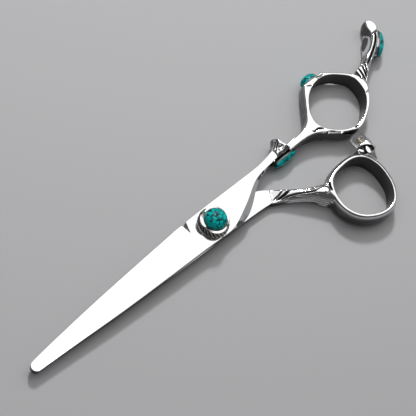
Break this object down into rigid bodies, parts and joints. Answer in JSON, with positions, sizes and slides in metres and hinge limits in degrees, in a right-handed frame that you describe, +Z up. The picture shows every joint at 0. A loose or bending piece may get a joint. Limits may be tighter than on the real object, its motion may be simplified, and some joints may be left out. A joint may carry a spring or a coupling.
{
  "type": "hair cutting shears",
  "caption": "Hair cutting shears with straight blades, carved offset handles, a fixed finger rest, a stone-set tension knob and a soft stop.",
  "frame": {"origin": "on the pivot axis, at the plane the shears rest on", "axes": "+X from the blade tips to the finger rings, +Y to the finger-ring side, +Z up, along the pivot axis"},
  "size_m": [0.1869, 0.0592, 0.0132],
  "materials": {
    "blade_steel": "mirror-polished stainless steel",
    "handle_steel": "polished cast steel with blackened carving",
    "pivot_steel": "turned steel",
    "bearing_steel": "ground bearing steel",
    "bronze": "plain bronze",
    "washer_plastic": "slippery white plastic",
    "knob_silver": "polished silver plate, blackened in its recesses",
    "dark_setting": "blackened steel",
    "turquoise": "polished, dark-veined",
    "stud_brass": "turned brass",
    "clear_silicone": "clear soft silicone"
  },
  "bodies": {
    "finger_side": {"finger_blade": "blade_steel", "finger_handle": "handle_steel", "pivot_bushing": "bronze", "bearing_lower_race": "bearing_steel", "ring_stone": "turquoise", "ring_stone_bezel": "dark_setting", "shank_stone": "turquoise", "shank_stone_bezel": "dark_setting", "tang_stone": "turquoise", "tang_stone_bezel": "dark_setting"},
    "thumb_side": {"thumb_blade": "blade_steel", "thumb_handle": "handle_steel", "pivot_screw": "pivot_steel", "glide_washer": "washer_plastic", "bearing_upper_race": "bearing_steel", "click_plate": "pivot_steel", "bumper_stud": "stud_brass", "bumper": "clear_silicone"},
    "knob": {"tension_knob": "knob_silver", "click_spring": "bearing_steel", "knob_bezel": "knob_silver", "knob_stone": "turquoise"},
    "ball_cage": {"bearing_cage": "bronze", "bearing_balls": "bearing_steel"}
  },
  "joints": [
    {"name": "open_close", "type": "hinge", "parent": "finger_side", "child": "thumb_side", "pos_m": [0, 0, 0.0033], "axis": [0, 0, -1], "range_deg": [0, 90]},
    {"name": "knob_turn", "type": "hinge", "parent": "thumb_side", "child": "knob", "pos_m": [0, 0, 0.0085], "axis": [0, 0, 1], "range_deg": [-180, 180]},
    {"name": "cage_roll", "type": "hinge", "parent": "finger_side", "child": "ball_cage", "pos_m": [0, 0, 0.0066], "axis": [0, 0, -1], "range_deg": [0, 45]}
  ],
  "couplings": [
    {"joint": "cage_roll", "follows": "open_close", "ratio": 0.5}
  ]
}
